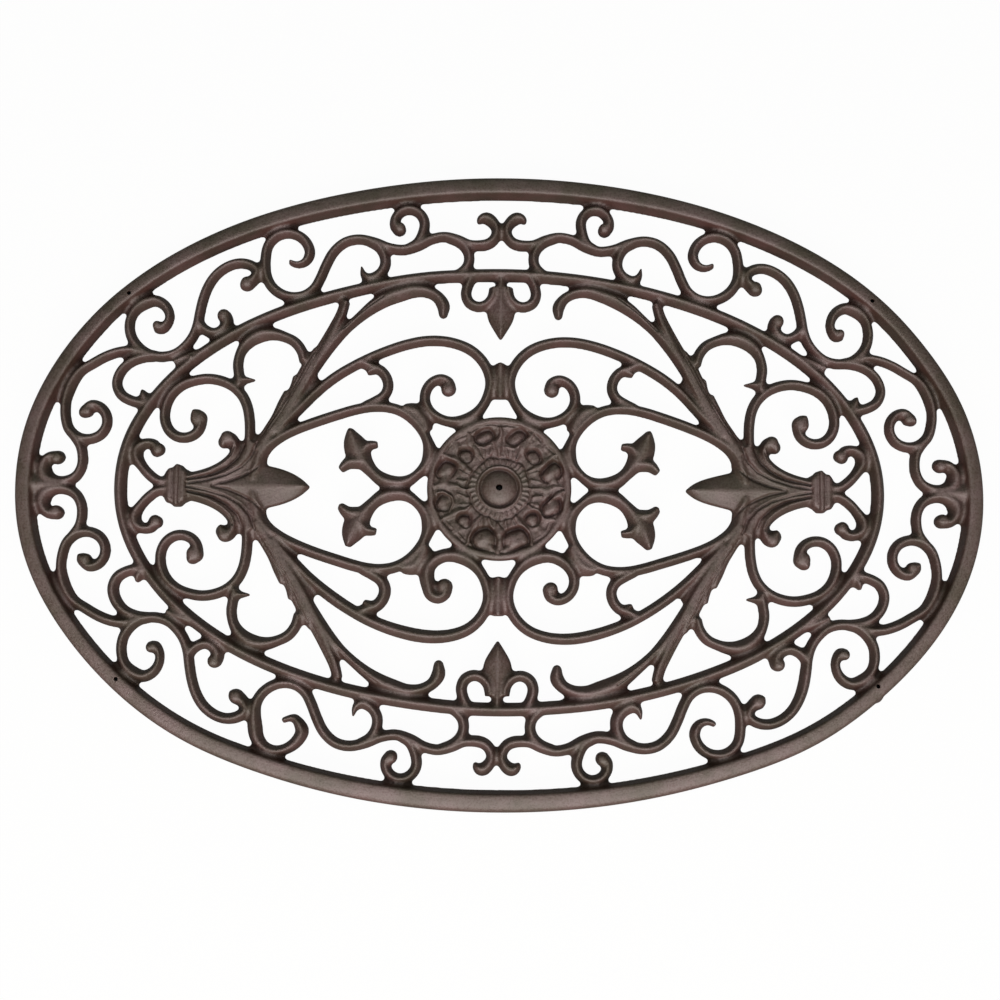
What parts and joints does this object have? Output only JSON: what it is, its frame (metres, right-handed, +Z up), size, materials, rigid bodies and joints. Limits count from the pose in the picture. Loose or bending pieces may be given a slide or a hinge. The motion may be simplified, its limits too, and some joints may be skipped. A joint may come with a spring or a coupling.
{
  "type": "oval openwork door mat",
  "caption": "Oval openwork cast iron door mat with scrollwork, a round centre medallion and push-in rubber feet, laid at an outside door to scrape shoes.",
  "frame": {"origin": "on the ground under the centre of the mat, at the middle of the underside of the centre foot", "axes": "+Z up, +X along the mat's length, +Y across the mat"},
  "size_m": [0.72, 0.474, 0.017],
  "materials": {
    "painted_cast_iron": "thin satin brown-black paint over fine sand-cast iron",
    "foot_rubber": "matt black moulded rubber"
  },
  "bodies": {
    "root": {"mat_casting": "painted_cast_iron", "foot_back_right": "foot_rubber", "foot_back_left": "foot_rubber", "foot_front_left": "foot_rubber", "foot_front_right": "foot_rubber", "foot_centre": "foot_rubber"}
  },
  "joints": []
}
